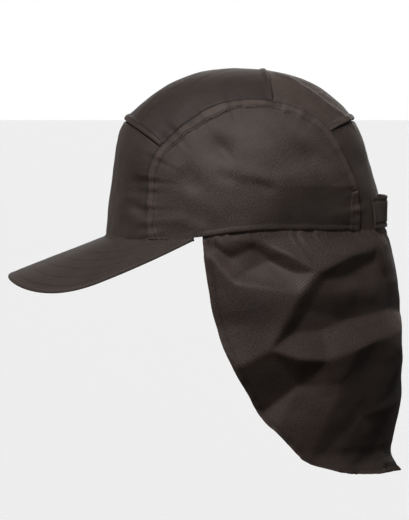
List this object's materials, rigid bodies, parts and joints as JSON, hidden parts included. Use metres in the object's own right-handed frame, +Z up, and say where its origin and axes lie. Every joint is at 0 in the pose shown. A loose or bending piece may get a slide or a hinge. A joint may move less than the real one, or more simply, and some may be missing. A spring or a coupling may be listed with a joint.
{
  "type": "legionnaire cap",
  "caption": "Cloth sun cap with a rounded crown of sewn panels, a curved sloping peak, a closing strap across the back and a gathered neck flap that hangs in pressed creases",
  "frame": {"origin": "The middle of the head opening, on the centre plane and level with the front of the rim, where the cap sits on a head", "axes": "+Z up through the crown, -Y forward over the peak, +X to the wearer's left"},
  "size_m": [0.1874, 0.2942, 0.3022],
  "materials": {
    "crown_twill": "soft satin sheen",
    "strap_twill": "matte",
    "peak_twill": "matte",
    "flap_satin": "soft satin sheen"
  },
  "bodies": {
    "root": {"front_panel": "crown_twill", "top_panel_front": "crown_twill", "top_panel_back": "crown_twill", "back_panel": "crown_twill", "side_panel_left": "crown_twill", "side_panel_right": "crown_twill", "back_strap": "strap_twill", "peak": "peak_twill", "neck_flap": "flap_satin"}
  },
  "joints": []
}
